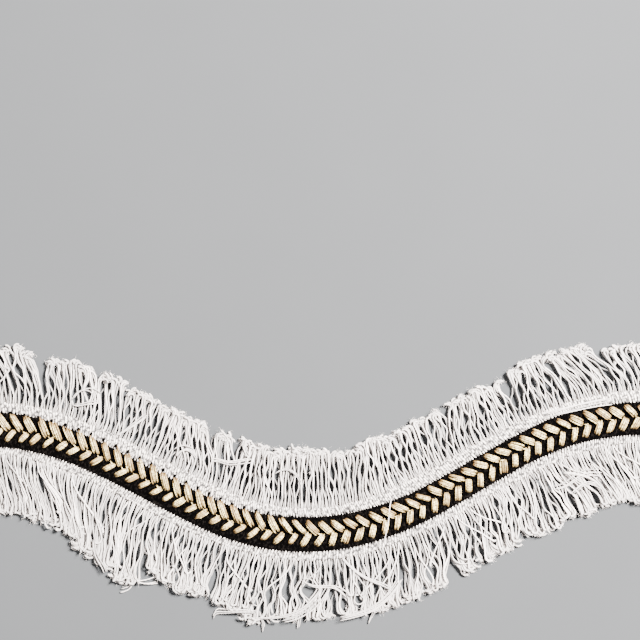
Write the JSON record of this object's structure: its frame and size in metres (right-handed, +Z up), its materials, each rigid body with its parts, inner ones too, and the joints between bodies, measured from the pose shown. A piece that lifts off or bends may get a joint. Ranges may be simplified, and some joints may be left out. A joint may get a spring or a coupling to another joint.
{
  "type": "embroidered fringe tape trim",
  "caption": "Woven tape trim with a black band, plaited gold satin stitching, white headings and a yarn fringe on both edges, laid flat in a soft wave, for sewing or gluing along an edge.",
  "frame": {"origin": "on the underside of the woven tape, mid-length on its middle line, at the wave's lowest stretch", "axes": "+X along the wave to the right, +Y across it towards the upper fringe, +Z up out of the embroidered face"},
  "size_m": [0.1436, 0.0569, 0.0019],
  "materials": {
    "black_cotton": "matt, fine weft ribs across the band",
    "white_cotton": "matt soft-spun yarn",
    "gold_thread": "soft sheen of rayon embroidery thread"
  },
  "bodies": {
    "root": {"ground_band": "black_cotton", "fringe_upper": "white_cotton", "fringe_lower": "white_cotton", "gold_stitching": "gold_thread"}
  },
  "joints": []
}
